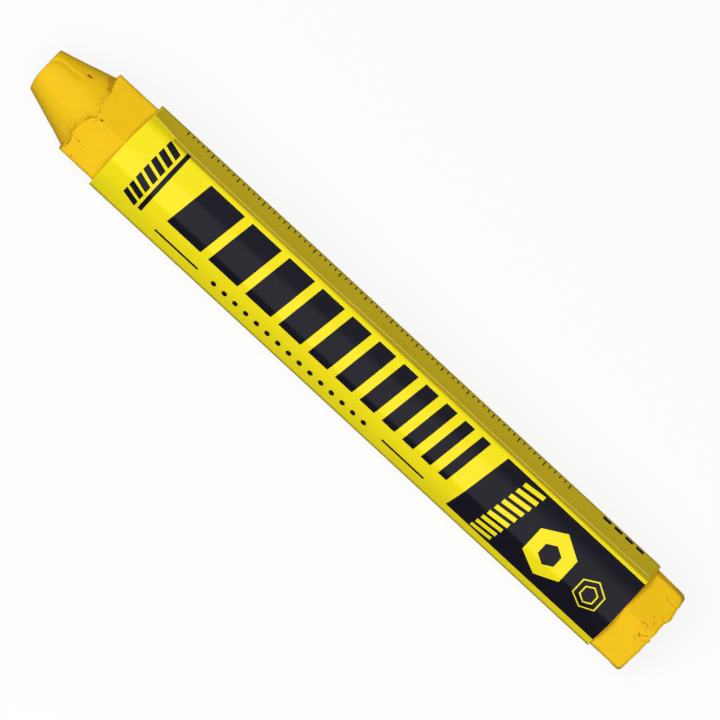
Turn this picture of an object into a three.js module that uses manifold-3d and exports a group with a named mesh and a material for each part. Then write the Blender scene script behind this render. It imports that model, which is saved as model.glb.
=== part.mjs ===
// A hexagonal stick of solid paint in a loose wrapped paper sleeve.
// Millimetres. X runs from the nose to the butt, Z is up, and the origin is on the
// surface the stick lies on, under the middle of its length.

import * as THREE from "three";
import { mergeVertices } from "three/addons/utils/BufferGeometryUtils.js";
import Module from "manifold-3d";

const wasm = await Module();
wasm.setup();

// The cast stick of paint. It tapers a little, so that it leaves its mould nose first.
const stickLength = 120;
const frontAcrossFlats = 13.85;
const rearAcrossFlats = 14.42;
const stickCornerRadius = 0.7;
const buttChamfer = 0.35;

// The round nose, its blunt tip and the ledge where it meets the hexagon.
const noseLength = 9.2;
const noseBaseDiameter = 12.6;
const tipDiameter = 6.9;
const tipFlatDiameter = 4.4;
const tipRoundLength = 0.45;
const ledgeWidth = 0.45;
const ledgeRise = 0.25;
const shoulderAngle = 36;

// The sleeve. Four sides lie along the stick's flats and two creases stand off it.
const noseShowing = 16.1;
const sleeveLength = 98;
const sleeveAcrossFlats = 15.2;
const sleeveCornerRadius = 1;
const lapCreaseAngle = 90;
const lapCreaseRadialLength = 9.3;
const lowerCreaseAngle = 141;
const lowerCreaseRadialLength = 9.3;
const creaseRadius = 0.55;
const softCornerRadius = 2.2;

// The sleeve's layers, from the outside in.
const labelThickness = 0.09;
const glueThickness = 0.02;
const layerClearance = 0.01;
const linerThickness = 0.13;
const linerSetback = 0.4;

// The label is longer than the sleeve's girth, and its outer end laps over the inner one.
const lapWidth = 11;
const lapEdgeFromCrease = 1.05;
const lapRampLength = 0.9;
const lapRampGap = 0.4;
const glueMargin = 0.8;
const startGlueWidth = 7;
const glueEndMargin = 1.5;

// Facets
const turnedSides = 72;
const cornerSteps = 5;

// How far the turned envelope runs past the butt, so that it trims only the front.
const envelopeOverrun = 1;

const axisHeight = sleeveAcrossFlats / 2;
const layerPitch = labelThickness + glueThickness + 2 * layerClearance;
const tipX = -stickLength / 2;
const shoulderX = tipX + noseLength;
const buttX = stickLength / 2;
const sleeveFrontX = tipX + noseShowing;
const radians = THREE.MathUtils.degToRad;

const materials = {
  paint: new THREE.MeshStandardMaterial({ color: 0xf7b928, roughness: 0.55, metalness: 0 }),
  label: new THREE.MeshStandardMaterial({ color: 0xf7ea2c, roughness: 0.35, metalness: 0 }),
  liner: new THREE.MeshStandardMaterial({ color: 0xc9b48c, roughness: 0.85, metalness: 0 }),
  glue: new THREE.MeshStandardMaterial({ color: 0xe9e2c6, roughness: 0.5, metalness: 0 }),
};

// Solids to and from manifold-3d

function toSolid(geometry) {
  const plain = geometry.clone();
  plain.deleteAttribute("normal");
  plain.deleteAttribute("uv");
  const merged = mergeVertices(plain, 1e-4);
  const index = merged.getIndex().array;
  const triangles = [];
  for (let i = 0; i < index.length; i += 3) {
    const [a, b, c] = index.slice(i, i + 3);
    if (a !== b && b !== c && c !== a) {
      triangles.push(a, b, c);
    }
  }
  return new wasm.Manifold(new wasm.Mesh({
    numProp: 3,
    vertProperties: new Float32Array(merged.getAttribute("position").array),
    triVerts: new Uint32Array(triangles),
  }));
}

function toGeometry(solid) {
  const mesh = solid.getMesh();
  const geometry = new THREE.BufferGeometry();
  geometry.setAttribute("position", new THREE.BufferAttribute(mesh.vertProperties, 3));
  geometry.setIndex(new THREE.BufferAttribute(mesh.triVerts, 1));
  geometry.computeVertexNormals();
  return geometry;
}

// A profile of [radius, x] pairs turned about the stick's axis.
function turned(profile) {
  const points = profile.map(([radius, x]) => new THREE.Vector2(radius, x));
  return new THREE.LatheGeometry(points, turnedSides).rotateZ(-Math.PI / 2);
}

// Turns a shape drawn in the YZ plane and extruded along Z into one that lies along X.
const alongX = new THREE.Matrix4().makeBasis(
  new THREE.Vector3(0, 1, 0),
  new THREE.Vector3(0, 0, 1),
  new THREE.Vector3(1, 0, 0),
);

function extrudedAlongX(shape, length) {
  const geometry = new THREE.ExtrudeGeometry(shape, { depth: length, bevelEnabled: false });
  return geometry.applyMatrix4(alongX);
}

// Outlines with rounded corners

function polar(angle, reach) {
  return new THREE.Vector2(Math.cos(radians(angle)), Math.sin(radians(angle))).multiplyScalar(reach);
}

// Stations along a convex outline, anticlockwise, each with its point, outward normal and
// distance along the outline. Corners are { point, radius }.
function stationsOf(corners) {
  const stations = [];
  corners.forEach((corner, i) => {
    const before = corners[(i + corners.length - 1) % corners.length].point;
    const after = corners[(i + 1) % corners.length].point;
    const comingIn = corner.point.clone().sub(before).normalize();
    const goingOut = after.clone().sub(corner.point).normalize();
    const firstNormal = Math.atan2(-comingIn.x, comingIn.y);
    const turn = Math.atan2(comingIn.cross(goingOut), comingIn.dot(goingOut));
    const toCentre = goingOut.clone().sub(comingIn).normalize();
    const centre = corner.point.clone().addScaledVector(toCentre, corner.radius / Math.cos(turn / 2));
    for (let step = 0; step <= cornerSteps; step += 1) {
      const angle = firstNormal + (turn * step) / cornerSteps;
      const normal = new THREE.Vector2(Math.cos(angle), Math.sin(angle));
      stations.push({ point: centre.clone().addScaledVector(normal, corner.radius), normal });
    }
  });
  let distance = 0;
  stations.forEach((station, i) => {
    if (i > 0) {
      distance += station.point.distanceTo(stations[i - 1].point);
    }
    station.distance = distance;
  });
  return stations;
}

function hexagonCorners(acrossFlats, radius) {
  const reach = acrossFlats / 2 / Math.cos(Math.PI / 6);
  return [0, 60, 120, 180, 240, 300].map((angle) => ({ point: polar(angle, reach), radius }));
}

// The cast stick

// A tapering hexagonal body through [x, across flats] sections.
function hexagonalBody(sections) {
  const rings = sections.map(([x, acrossFlats]) => (
    stationsOf(hexagonCorners(acrossFlats, stickCornerRadius)).map(({ point }) => (
      new THREE.Vector3(x, point.x, point.y)))));
  const count = rings[0].length;
  const vertices = rings.flat();
  const triangles = [];
  for (let ring = 0; ring + 1 < rings.length; ring += 1) {
    for (let i = 0; i < count; i += 1) {
      const a = ring * count + i;
      const b = ring * count + ((i + 1) % count);
      triangles.push(a, a + count, b, b, a + count, b + count);
    }
  }
  const last = (rings.length - 1) * count;
  for (let i = 1; i + 1 < count; i += 1) {
    triangles.push(0, i, i + 1);
    triangles.push(last, last + i + 1, last + i);
  }
  const geometry = new THREE.BufferGeometry().setFromPoints(vertices);
  geometry.setIndex(triangles.reverse());
  return geometry;
}

function paintStick() {
  const taper = (rearAcrossFlats - frontAcrossFlats) / (buttX - shoulderX);
  const chamferX = buttX - buttChamfer;
  const body = toSolid(hexagonalBody([
    [shoulderX, frontAcrossFlats],
    [chamferX, rearAcrossFlats - taper * buttChamfer],
    [buttX, rearAcrossFlats - 2 * buttChamfer],
  ]));

  // The front of the hexagon is turned to a steep cone, which leaves scallops on its flats.
  const baseRadius = noseBaseDiameter / 2;
  const ledgeRadius = baseRadius + ledgeWidth;
  const beyond = rearAcrossFlats;
  const coneLength = (beyond - ledgeRadius) / Math.tan(radians(shoulderAngle));
  const envelope = toSolid(turned([
    [0, shoulderX - ledgeRise],
    [baseRadius, shoulderX - ledgeRise],
    [ledgeRadius, shoulderX],
    [beyond, shoulderX + coneLength],
    [beyond, buttX + envelopeOverrun],
    [0, buttX + envelopeOverrun],
  ]));
  const nose = toSolid(turned([
    [0, tipX],
    [tipFlatDiameter / 2, tipX],
    [(tipFlatDiameter + tipDiameter) / 4 + tipRoundLength / 4, tipX + tipRoundLength / 3],
    [tipDiameter / 2, tipX + tipRoundLength],
    [baseRadius, shoulderX],
    [baseRadius, shoulderX + noseLength],
    [0, shoulderX + noseLength],
  ]));
  return toGeometry(body.intersect(envelope).add(nose));
}

// The sleeve

// The label's face where it is one layer thick. Corners at every sixtieth degree follow the
// stick's own corners.
const sleeveCorners = hexagonCorners(sleeveAcrossFlats, sleeveCornerRadius);
sleeveCorners[2].radius = softCornerRadius;
sleeveCorners.splice(3, 0, { point: polar(lowerCreaseAngle, lowerCreaseRadialLength), radius: creaseRadius });
sleeveCorners.splice(2, 0, { point: polar(lapCreaseAngle, lapCreaseRadialLength), radius: creaseRadius });
const lapCreaseIndex = 2;
const sleeveStations = stationsOf(sleeveCorners);
const firstStation = sleeveStations[0];
const lastStation = sleeveStations[sleeveStations.length - 1];
const girth = lastStation.distance + lastStation.point.distanceTo(firstStation.point);
const lapCreaseDistance = sleeveStations[lapCreaseIndex * (cornerSteps + 1)].distance;

// Stations from one distance to another, which may go past the girth and round again.
function stationsBetween(from, to, extra) {
  const turns = [0, 1];
  const rounds = turns.flatMap((turn) => sleeveStations.map((station) => ({
    ...station, distance: station.distance + turn * girth,
  })));
  const at = (distance) => {
    const next = rounds.findIndex((station) => station.distance >= distance);
    const a = rounds[next - 1];
    const b = rounds[next];
    const share = (distance - a.distance) / (b.distance - a.distance);
    return {
      point: a.point.clone().lerp(b.point, share),
      normal: a.normal.clone().lerp(b.normal, share).normalize(),
      distance,
    };
  };
  const inside = rounds.filter(({ distance }) => distance > from && distance < to);
  const added = [from, to, ...extra].map(at);
  return [...inside, ...added].sort((a, b) => a.distance - b.distance);
}

// A point of the layer whose face is so far above the label's single face, or below it if negative.
function raised(station, height) {
  return station.point.clone().addScaledVector(station.normal, height);
}

// A strip that follows the stations, with its outer face at the given height.
function stripShape(stations, heightAt, thickness) {
  const outer = stations.map((station) => raised(station, heightAt(station.distance)));
  const inner = stations.map((station) => raised(station, heightAt(station.distance) - thickness));
  return new THREE.Shape([...outer, ...inner.reverse()]);
}

const labelStart = lapCreaseDistance - lapEdgeFromCrease - lapWidth;
const labelEnd = labelStart + girth + lapWidth;
const rampEnd = labelStart + girth - lapRampGap;
const rampStart = rampEnd - lapRampLength;

// The label lies on the liner, then climbs over its own start.
function labelHeight(distance) {
  const share = (distance - rampStart) / lapRampLength;
  return layerPitch * THREE.MathUtils.clamp(share, 0, 1);
}

function printedLabel() {
  const stations = stationsBetween(labelStart, labelEnd, [rampStart, rampEnd]);
  return extrudedAlongX(stripShape(stations, labelHeight, labelThickness), sleeveLength);
}

// A film of glue between two layers, with its face at the given height.
function glueFilm(from, to, height) {
  const shape = stripShape(stationsBetween(from, to, []), () => height, glueThickness);
  return extrudedAlongX(shape, sleeveLength - 2 * glueEndMargin);
}

function lapGlue() {
  const height = layerPitch - labelThickness - layerClearance;
  return glueFilm(labelStart + girth + glueMargin, labelEnd - glueMargin, height);
}

function startGlue() {
  const start = labelStart + glueMargin;
  return glueFilm(start, start + startGlueWidth, -labelThickness - layerClearance);
}

function innerSleeve() {
  const ringAt = (height) => sleeveStations.map((station) => raised(station, height));
  const shape = new THREE.Shape(ringAt(-layerPitch));
  shape.holes.push(new THREE.Path(ringAt(-layerPitch - linerThickness)));
  return extrudedAlongX(shape, sleeveLength - 2 * linerSetback);
}

// Assembly

function named(name, geometry, material, x) {
  const mesh = new THREE.Mesh(geometry, material);
  mesh.name = name;
  mesh.position.x = x;
  return mesh;
}

const stick = new THREE.Group();
stick.add(named("paint_stick", paintStick(), materials.paint, 0));

const sleeve = new THREE.Group();
sleeve.position.x = sleeveFrontX;
sleeve.add(
  named("printed_label", printedLabel(), materials.label, 0),
  named("inner_sleeve", innerSleeve(), materials.liner, linerSetback),
  named("lap_glue", lapGlue(), materials.glue, glueEndMargin),
  named("start_glue", startGlue(), materials.glue, glueEndMargin),
);

const model = new THREE.Group();
model.position.z = axisHeight;
model.add(stick, sleeve);

export default model;
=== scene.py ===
import bisect
import random
from math import atan2, cos, degrees, exp, hypot, pi, radians, sin, tan

import bmesh
import bpy
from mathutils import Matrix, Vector, noise


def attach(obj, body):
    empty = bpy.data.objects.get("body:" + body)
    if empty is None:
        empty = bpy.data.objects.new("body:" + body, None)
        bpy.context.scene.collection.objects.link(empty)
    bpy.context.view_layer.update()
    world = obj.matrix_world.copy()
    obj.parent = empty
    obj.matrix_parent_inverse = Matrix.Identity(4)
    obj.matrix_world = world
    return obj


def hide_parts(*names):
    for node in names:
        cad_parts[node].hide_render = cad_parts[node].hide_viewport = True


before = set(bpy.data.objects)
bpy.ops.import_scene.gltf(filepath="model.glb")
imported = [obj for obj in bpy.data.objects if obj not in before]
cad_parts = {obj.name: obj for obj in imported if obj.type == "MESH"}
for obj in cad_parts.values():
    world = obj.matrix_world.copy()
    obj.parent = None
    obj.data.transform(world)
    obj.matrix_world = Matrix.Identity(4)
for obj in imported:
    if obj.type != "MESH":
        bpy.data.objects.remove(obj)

print("frame loaded:", sorted(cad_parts))
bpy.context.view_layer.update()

# Pieces are modelled in millimetres, with X along the stick from nose to butt,
# and made metres when they are finished.
mm = 0.001
axisHeight = 7.6            # the stick's axis over the surface it lies on
cornerToCamera = 120        # direction of the corner that faces the camera, from +Y towards +Z


# Camera

view = {
    "aim": Vector((2.02, 0.11, axisHeight + 0.07)) * mm,
    "distance": 2500 * mm,      # far off with a long lens, so the sleeve's straight ends look straight
    "elevation": 60,
    "roll": 42.75,          # the stick runs down to the right at this angle
    "frameWidth": 103.85 * mm,
    "sensor": 36,
}


def makeCamera():
    tilt = radians(90 - view["elevation"])
    roll = radians(view["roll"])
    back = Vector((0, -sin(tilt), cos(tilt)))
    bpy.ops.object.camera_add(location=view["aim"] + back * view["distance"])
    camera = bpy.context.active_object
    camera.name = "photoCamera"
    camera.rotation_euler = (tilt, 0, 0)
    camera.rotation_mode = "QUATERNION"
    turn = Vector((1, 0, 0)).rotation_difference(Vector((cos(roll), sin(roll), 0)))
    camera.rotation_quaternion = camera.rotation_quaternion @ turn
    camera.data.sensor_width = view["sensor"]
    camera.data.lens = view["sensor"] * view["distance"] / view["frameWidth"]
    camera.data.clip_start = 0.01
    bpy.context.scene.camera = camera


makeCamera()
print("camera placed")


# Small helpers

def startEdit(piece, selectMode="FACE"):
    bpy.ops.object.select_all(action="DESELECT")
    piece.select_set(True)
    bpy.context.view_layer.objects.active = piece
    bpy.ops.object.mode_set(mode="EDIT")
    bpy.ops.mesh.select_mode(type=selectMode)
    bpy.ops.mesh.select_all(action="DESELECT")
    return bmesh.from_edit_mesh(piece.data)


def endEdit():
    bpy.ops.object.mode_set(mode="OBJECT")


def smoothStep(low, high, value):
    share = min(max((value - low) / (high - low), 0), 1)
    return share * share * (3 - 2 * share)


def alongCurve(points, value):
    # Points are (place, value) pairs in order.
    places = [p[0] for p in points]
    i = min(max(bisect.bisect_right(places, value), 1), len(points) - 1)
    (a, va), (b, vb) = points[i - 1], points[i]
    return va + (vb - va) * smoothStep(a, b, value)


def hill(offset, width):
    # 1 where the offset is 0, fading out over about two widths to either side
    return exp(-(offset / width) ** 2)


def moveVertices(piece, place):
    for vertex in piece.data.vertices:
        vertex.co = place(vertex.co)
    piece.data.update()


def cutAt(point, normal):
    # Cuts the selected faces with a plane.
    bpy.ops.mesh.bisect(plane_co=point, plane_no=normal, threshold=1e-5)


def finishPiece(piece, name, smoothAngle):
    # Metres, faces outward, smooth shading
    piece.name = name
    startEdit(piece)
    bpy.ops.mesh.select_all(action="SELECT")
    bpy.ops.transform.resize(value=(mm, mm, mm), center_override=(0, 0, 0))
    bpy.ops.mesh.normals_make_consistent(inside=False)
    endEdit()
    bpy.ops.object.shade_smooth_by_angle(angle=radians(smoothAngle))


def linearColour(hexColour):
    channels = [int(hexColour[i:i + 2], 16) / 255 for i in (0, 2, 4)]
    curve = [c / 12.92 if c <= 0.04045 else ((c + 0.055) / 1.055) ** 2.4 for c in channels]
    return (*curve, 1)


def addNode(tree, kind, settings=None, links=None):
    node = tree.nodes.new(kind)
    for key, value in (settings or {}).items():
        if isinstance(key, str) and hasattr(node, key):
            setattr(node, key, value)
        else:
            node.inputs[key].default_value = value
    for key, source in (links or {}).items():
        tree.links.new(source, node.inputs[key])
    return node


def newMaterial(name, shader):
    # A material with one Principled shader and Object coordinates in millimetres
    material = bpy.data.materials.new(name)
    material.use_nodes = True
    tree = material.node_tree
    tree.nodes.clear()
    surface = addNode(tree, "ShaderNodeBsdfPrincipled", shader)
    output = addNode(tree, "ShaderNodeOutputMaterial")
    tree.links.new(surface.outputs["BSDF"], output.inputs["Surface"])
    coordinates = addNode(tree, "ShaderNodeTexCoord")
    place = addNode(
        tree, "ShaderNodeMapping", {"Scale": (1 / mm, 1 / mm, 1 / mm)},
        {"Vector": coordinates.outputs["Object"]})
    return material, tree, surface, place.outputs["Vector"]


# Materials

def makePaint():
    # Solid paint: pigment in wax and drying oil, cast warm in a hexagonal mould. It is opaque with
    # a faint waxy depth, satin where the mould pressed it, with fine grain, pits and dusty rubs.
    paint = {
        "smooth": "FDCE1B", "dusty": "F9C618", "paintedShadeOrange": "E39A14", "paintedShadeBrown": "6E4A10",
        "mottleSize": 5.0, "grainSize": 0.35, "grainDepth": 0.03, "pitDepth": 0.08,
        "pinholeSpacing": 4.0, "pinholeEdge": 0.03, "pinholeMiddle": 0.012, "pinholeStrength": 0.5,
        "smoothRoughness": 0.55, "dustyRoughness": 0.7,
    }
    material, tree, surface, place = newMaterial("castSolidPaint", {
        "IOR": 1.46, "Specular IOR Level": 0.16, "Subsurface Weight": 0.25, "Subsurface Scale": 0.8 * mm,
        "Subsurface Radius": (1.0, 0.5, 0.1),
    })
    mottle = addNode(
        tree, "ShaderNodeTexNoise",
        {"Scale": 1 / paint["mottleSize"], "Detail": 4.0, "Roughness": 0.6}, {"Vector": place})
    cast = addNode(
        tree, "ShaderNodeMix",
        {"data_type": "RGBA", 6: linearColour(paint["smooth"]), 7: linearColour(paint["dusty"])},
        {0: mottle.outputs["Fac"]})
    cells = addNode(
        tree, "ShaderNodeTexVoronoi",
        {"Scale": 1 / paint["pinholeSpacing"], "Randomness": 1.0}, {"Vector": place})
    pinholes = addNode(
        tree, "ShaderNodeMapRange",
        {"interpolation_type": "SMOOTHSTEP", "From Min": paint["pinholeEdge"],
         "From Max": paint["pinholeMiddle"], "To Max": paint["pinholeStrength"]},
        {"Value": cells.outputs["Distance"]})
    paintedShade = addNode(tree, "ShaderNodeAttribute", {"attribute_name": "paintedShade"})
    pitsAndPaintedShade = addNode(
        tree, "ShaderNodeMath", {"operation": "MAXIMUM"},
        {0: pinholes.outputs["Result"], 1: paintedShade.outputs["Fac"]}).outputs["Value"]
    # Painted shade: where the shade mask is set (cracks, pits, pinholes, the hollow, the ledge and the
    # flattened corner) the paint turns a deeper, warmer orange, and where it is strongest a dark brown.
    colour = cast.outputs[2]
    for tint, low, high, most in (("paintedShadeOrange", 0.0, 0.35, 0.8), ("paintedShadeBrown", 0.3, 0.85, 1.0)):
        share = addNode(
            tree, "ShaderNodeMapRange", {"From Min": low, "From Max": high, "To Max": most},
            {"Value": pitsAndPaintedShade})
        colour = addNode(
            tree, "ShaderNodeMix", {"data_type": "RGBA", 7: linearColour(paint[tint])},
            {0: share.outputs["Result"], 6: colour}).outputs[2]
    tree.links.new(colour, surface.inputs["Base Color"])
    rough = addNode(
        tree, "ShaderNodeMapRange",
        {"To Min": paint["smoothRoughness"], "To Max": paint["dustyRoughness"]},
        {"Value": mottle.outputs["Fac"]})
    tree.links.new(rough.outputs["Result"], surface.inputs["Roughness"])
    grain = addNode(
        tree, "ShaderNodeTexNoise",
        {"Scale": 1 / paint["grainSize"], "Detail": 3.0, "Roughness": 0.55}, {"Vector": place})
    grainBump = addNode(
        tree, "ShaderNodeBump", {"Strength": 0.25, "Distance": paint["grainDepth"] * mm},
        {"Height": grain.outputs["Fac"]})
    pitBump = addNode(
        tree, "ShaderNodeBump", {"invert": True, "Strength": 0.6, "Distance": paint["pitDepth"] * mm},
        {"Height": pitsAndPaintedShade, "Normal": grainBump.outputs["Normal"]})
    tree.links.new(pitBump.outputs["Normal"], surface.inputs["Normal"])
    return material


def makePaper(name, paper):
    # A sheet of paper seen by its face: fibres make the colour and the sheen slightly uneven.
    material, tree, surface, place = newMaterial(
        name, {"IOR": 1.5, "Specular IOR Level": paper["shine"]})
    fibres = addNode(
        tree, "ShaderNodeTexNoise",
        {"Scale": 1 / paper["fibreSize"], "Detail": 5.0, "Roughness": 0.65},
        {"Vector": place}).outputs["Fac"]
    face = addNode(
        tree, "ShaderNodeMix",
        {"data_type": "RGBA", 6: linearColour(paper["face"]), 7: linearColour(paper["worn"])},
        {0: fibres})
    cells = addNode(
        tree, "ShaderNodeTexVoronoi",
        {"Scale": 1 / paper["speckSpacing"], "Randomness": 1.0}, {"Vector": place})
    specks = addNode(
        tree, "ShaderNodeMapRange",
        {"From Min": paper["speckSize"], "From Max": paper["speckSize"] / 2,
         "To Max": paper["speckStrength"]},
        {"Value": cells.outputs["Distance"]})
    speckled = addNode(
        tree, "ShaderNodeMix", {"data_type": "RGBA", 7: linearColour(paper["speck"])},
        {0: specks.outputs["Result"], 6: face.outputs[2]})
    tree.links.new(speckled.outputs[2], surface.inputs["Base Color"])
    uneven = 0.06       # how far the roughness strays to either side
    rough = addNode(
        tree, "ShaderNodeMapRange",
        {"To Min": paper["roughness"] - uneven, "To Max": paper["roughness"] + uneven},
        {"Value": fibres})
    tree.links.new(rough.outputs["Result"], surface.inputs["Roughness"])
    bump = addNode(
        tree, "ShaderNodeBump", {"Strength": 0.3, "Distance": paper["relief"] * mm},
        {"Height": fibres})
    tree.links.new(bump.outputs["Normal"], surface.inputs["Normal"])
    return material


# Coated label paper printed solid yellow, then varnished: bright, even, with a soft sheen.
yellowPaper = {
    "face": "FAEA1C", "worn": "F5E319", "speck": "D9C526", "fibreSize": 0.6, "shine": 0.08,
    "speckSpacing": 2.2, "speckSize": 0.035, "speckStrength": 0.5, "roughness": 0.45, "relief": 0.012,
}
yellowPrint = makePaper("varnishedYellowLabelPaper", yellowPaper)
# Painted shade: the same paper in a darker, warmer yellow, for the strip with the ticks, where the sleeve
# turns away from the light.
paintedShadeYellow = makePaper("varnishedYellowLabelPaperPaintedShade", {
    **yellowPaper, "face": "CFB724", "worn": "C9B121", "speck": "AC9120"})
# Black offset ink under the same varnish. Paper dust leaves fine pale specks in it.
blackPrint = makePaper("varnishedBlackInk", {
    "face": "0C0B15", "worn": "1A1927", "speck": "5A5C68", "fibreSize": 1.4, "shine": 0.09,
    "speckSpacing": 0.8, "speckSize": 0.06, "speckStrength": 0.35, "roughness": 0.5, "relief": 0.012,
})
# The label's cut edge and back: bare paper, yellowed by the ink that has soaked in, matt and fuzzy.
barePaper = makePaper("bareLabelPaper", {
    "face": "EADB78", "worn": "DDCC68", "speck": "CFC07A", "fibreSize": 0.3, "shine": 0.5,
    "speckSpacing": 1.0, "speckSize": 0.05, "speckStrength": 0.4, "roughness": 0.8, "relief": 0.02,
})
# Unbleached kraft liner: brown, matt, with coarse visible fibres.
kraftPaper = makePaper("kraftLinerPaper", {
    "face": "C9AE7E", "worn": "B3945F", "speck": "8C6E42", "fibreSize": 0.4, "shine": 0.5,
    "speckSpacing": 0.9, "speckSize": 0.09, "speckStrength": 0.6, "roughness": 0.85, "relief": 0.03,
})
# Dried starch glue: a thin, cloudy, pale buff film.
starchGlue = makePaper("driedStarchGlue", {
    "face": "E4DCB8", "worn": "D5CB9E", "speck": "C0B584", "fibreSize": 0.8, "shine": 0.5,
    "speckSpacing": 1.4, "speckSize": 0.06, "speckStrength": 0.3, "roughness": 0.5, "relief": 0.01,
})
castPaint = makePaint()
print("materials made")


# The sleeve's cross-section. Its creases stray a little on their way from the front to the back.

sleeve = {
    "front": -43.9, "length": 98.0,
    "acrossFlats": 15.2, "cornerRadius": 1.0,
    "softRidge": 8.83, "softAngles": [(0.0, 120.5), (0.1, 114.5), (1.0, 109.0)],
    "softRadii": [(0.0, 6.0), (0.1, 3.5), (1.0, 8.0)],
    "lapCreaseAngle": 90, "creaseReach": 9.3, "creaseRadius": 0.6, "lowerCreaseRadius": 1.0,
    "lapCreaseFrontRadius": 2.4, "lapCreaseFrontLength": 9.0,
    "lowerCreaseAngles": [(0.0, 138.6), (0.12, 139.2), (0.45, 140.6), (0.7, 142.8), (1.0, 141.8)],
    "panelBulge": 0.25, "undersideBulge": 0.16,      # of the lower panel, and of the side below it
    "arcSteps": 8,
    "labelThickness": 0.09, "layerPitch": 0.13, "linerThickness": 0.13, "linerSetback": 0.4,
    "lapWidth": 11.0, "lapEdge": 0.68, "rampLength": 0.9, "rampGap": 0.4,
    "edgeLift": 0.05, "edgeLiftWidth": 1.6, "edgeWavesPerMm": 0.13, "frontLift": 0.05,
    "frontLiftLength": 5.0,
    # How far the sheet's ends are trimmed out of square, and where round the sheet each trim starts
    # and stops. The places on the lap, and of its free edge's stray, are counted back from the girth.
    "trim": {
        "length": 10, "lapFront": 0.43, "lapRear": 0.33, "lapSpan": (14, 6), "edgeSpan": (4.5, 1.5),
        "front": 0.3, "frontSpan": (-1, 5), "lowerRear": 0.2, "lowerSpan": (8, 14, 20),
    },
}
# How far the lap's free edge strays from its place, by the distance from the front end
lapStray = [(0, -0.38), (3.7, -0.14), (7.3, -0.14), (16, 0.0), (25, 0.13), (33, 0.13), (42, -0.1),
            (51, -0.1), (60, -0.05), (68, 0.0), (77, 0.13), (85, 0.0), (94, -0.2), (98, -0.3)]
sectionsMade = {}


def polar(angle, reach):
    return Vector((cos(radians(angle)) * reach, sin(radians(angle)) * reach))


def sectionAt(x):
    # Stations round the sleeve as (distance, point, normal), and the girth. Distance 0 is where
    # the crease beside the lap starts to bend.
    key = round(x, 3)
    if key in sectionsMade:
        return sectionsMade[key]
    share = (x - sleeve["front"]) / sleeve["length"]
    fromFront = smoothStep(0, sleeve["lapCreaseFrontLength"], x - sleeve["front"])
    lapRadius = (sleeve["lapCreaseFrontRadius"] * (1 - fromFront)
                 + sleeve["creaseRadius"] * fromFront)
    lowerAngle = alongCurve(sleeve["lowerCreaseAngles"], share)
    softAngle = alongCurve(sleeve["softAngles"], share)
    softReach = sleeve["softRidge"] / cos(radians(softAngle - cornerToCamera))
    reach = sleeve["acrossFlats"] / 2 / cos(radians(30))
    corner = sleeve["cornerRadius"]
    corners = [
        (sleeve["lapCreaseAngle"], sleeve["creaseReach"], lapRadius),
        (softAngle, softReach, alongCurve(sleeve["softRadii"], share)),
        (lowerAngle, sleeve["creaseReach"], sleeve["lowerCreaseRadius"]),
        (180, reach, corner), (240, reach, corner), (300, reach, corner),
        (360, reach, corner), (420, reach, corner),
    ]
    points = [polar(angle, distance) for angle, distance, _ in corners]
    stations = []
    for i, (_, _, radius) in enumerate(corners):
        comingIn = (points[i] - points[i - 1]).normalized()
        goingOut = (points[(i + 1) % len(points)] - points[i]).normalized()
        turn = atan2(comingIn.cross(goingOut), comingIn.dot(goingOut))
        centre = points[i] + (goingOut - comingIn).normalized() * radius / cos(turn / 2)
        first = atan2(-comingIn.x, comingIn.y)
        for step in range(sleeve["arcSteps"] + 1):
            angle = first + turn * step / sleeve["arcSteps"]
            normal = Vector((cos(angle), sin(angle)))
            stations.append((centre + normal * radius, normal))
    distances = [0.0]
    for (a, _), (b, _) in zip(stations, stations[1:]):
        distances.append(distances[-1] + (b - a).length)
    girth = distances[-1] + (stations[-1][0] - stations[0][0]).length
    ring = [(d, p, n) for d, (p, n) in zip(distances, stations)]
    ring.append((girth, *stations[0]))
    sectionsMade[key] = (ring, girth)
    return sectionsMade[key]


def onSleeve(x, around, height):
    # The point at a distance round the sleeve from the lap's crease, raised off its face
    ring, girth = sectionAt(x)
    around = around % girth
    i = min(max(bisect.bisect_right([d for d, _, _ in ring], around), 1), len(ring) - 1)
    (a, pointA, normalA), (b, pointB, normalB) = ring[i - 1], ring[i]
    share = (around - a) / (b - a) if b > a else 0
    # Two sides bulge a little between their corners.
    perCorner = sleeve["arcSteps"] + 1
    for corner, bulge in ((2, sleeve["panelBulge"]), (3, sleeve["undersideBulge"])):
        if i == (corner + 1) * perCorner:
            height += bulge * sin(pi * share)
    point = pointA.lerp(pointB, share) + normalA.lerp(normalB, share).normalized() * height
    return Vector((x, point.x, axisHeight + point.y))


labelStart = -sleeve["lapEdge"] - sleeve["lapWidth"]
labelGirth = sectionAt(sleeve["front"] + sleeve["length"] / 2)[1]
labelWidth = labelGirth + sleeve["lapWidth"]


def labelHeight(x, around):
    # The label climbs over its own start, and its free edge stands off a little.
    climbEnd = labelStart + labelGirth - sleeve["rampGap"]
    height = sleeve["layerPitch"] * smoothStep(climbEnd - sleeve["rampLength"], climbEnd, around)
    fromEdge = labelStart + labelWidth - around
    fromFront = x - sleeve["front"]
    lift = sleeve["edgeLift"] * (1 + noise.noise(Vector((x * sleeve["edgeWavesPerMm"], 0, 0))))
    lift += sleeve["frontLift"] * hill(fromFront, sleeve["frontLiftLength"])
    return height + lift * smoothStep(sleeve["edgeLiftWidth"], 0, fromEdge)


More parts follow.
